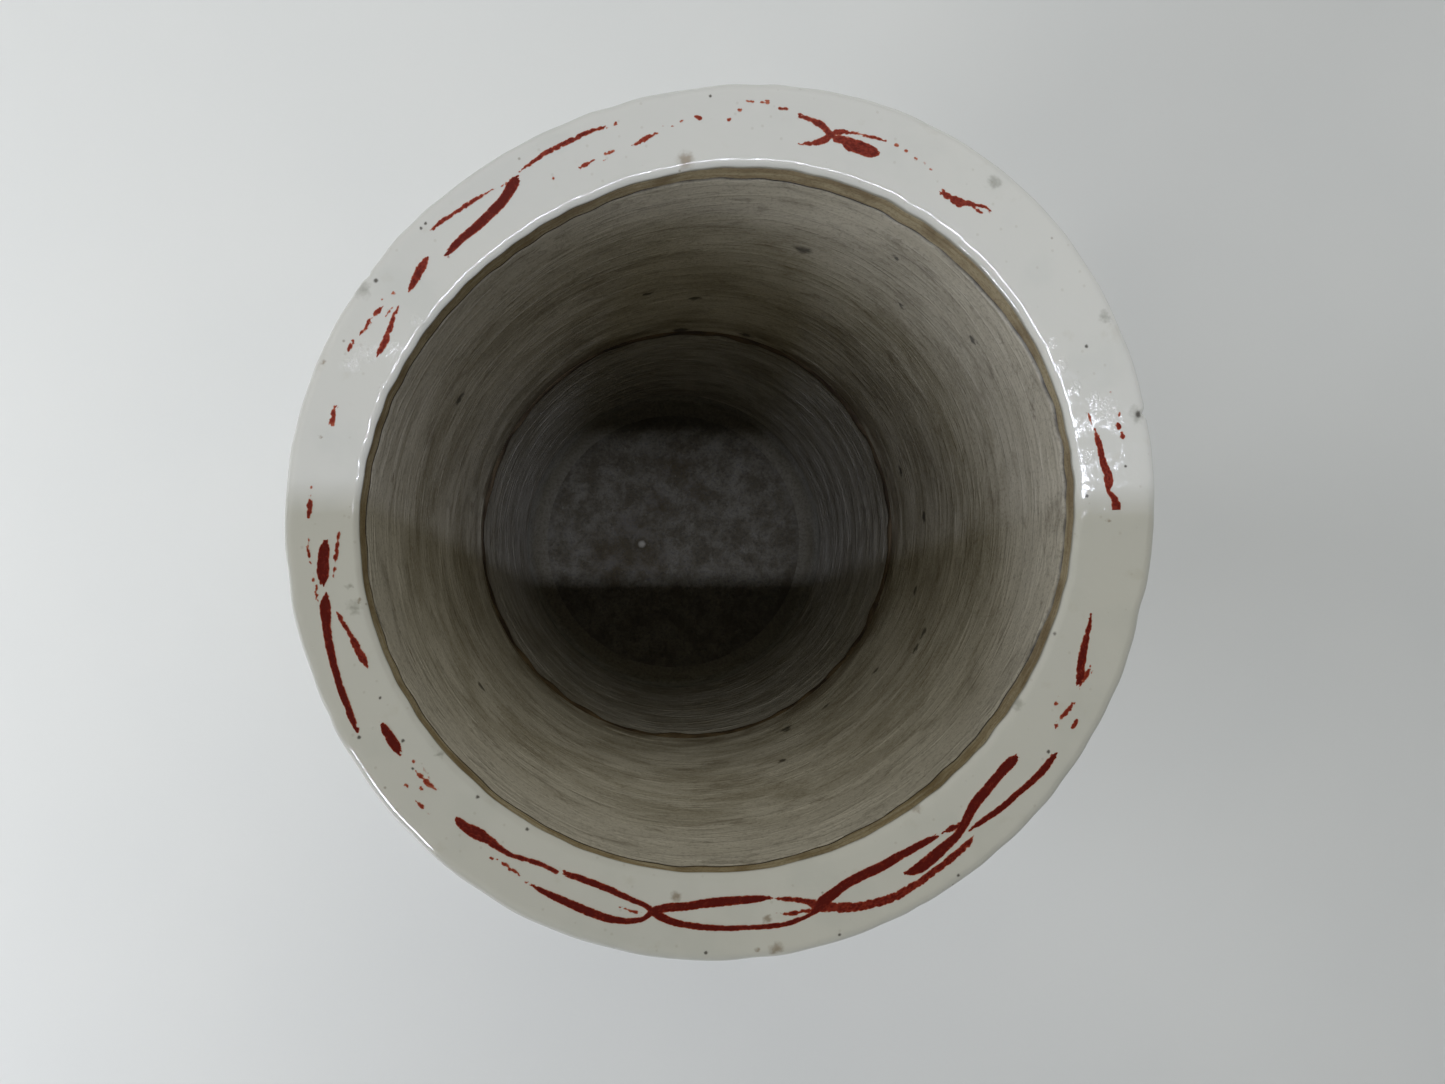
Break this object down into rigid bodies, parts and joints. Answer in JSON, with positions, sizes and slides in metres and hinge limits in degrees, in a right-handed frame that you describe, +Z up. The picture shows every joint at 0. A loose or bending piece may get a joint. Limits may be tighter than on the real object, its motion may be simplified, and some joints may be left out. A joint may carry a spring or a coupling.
{
  "type": "brush holder pot",
  "caption": "Tall cylindrical glazed stoneware pot with a broad flat painted rim, a bare clay inside, a foot ring and a recessed base, for standing brushes in.",
  "frame": {"origin": "centre of the foot ring's flat face, where the pot stands on the table", "axes": "+Z up along the pot's axis; the painted border's twisted loops lie towards -Y, and +X is to their right seen from above with +Y away"},
  "size_m": [0.124, 0.124, 0.2281],
  "materials": {
    "stoneware_clay": "bare fired clay, matt, brown-grey with dirt in the throwing rings",
    "slip": "bare fired slip, matt, darker than the clay",
    "white_glaze": "glossy grey-white glaze with a faint orange-peel, iron specks and pinholes",
    "iron_red_enamel": "satin iron-red overglaze enamel, worn through in places"
  },
  "bodies": {
    "root": {"foot_ring": "stoneware_clay", "foot_slip_joint": "slip", "base_disc": "stoneware_clay", "base_slip_joint": "slip", "corner_coil": "slip", "lower_wall": "stoneware_clay", "middle_slip_joint": "slip", "upper_wall": "stoneware_clay", "rim_slip_joint": "slip", "rim_ring": "stoneware_clay", "outer_glaze": "white_glaze", "base_glaze": "white_glaze", "rim_enamel": "iron_red_enamel"}
  },
  "joints": []
}
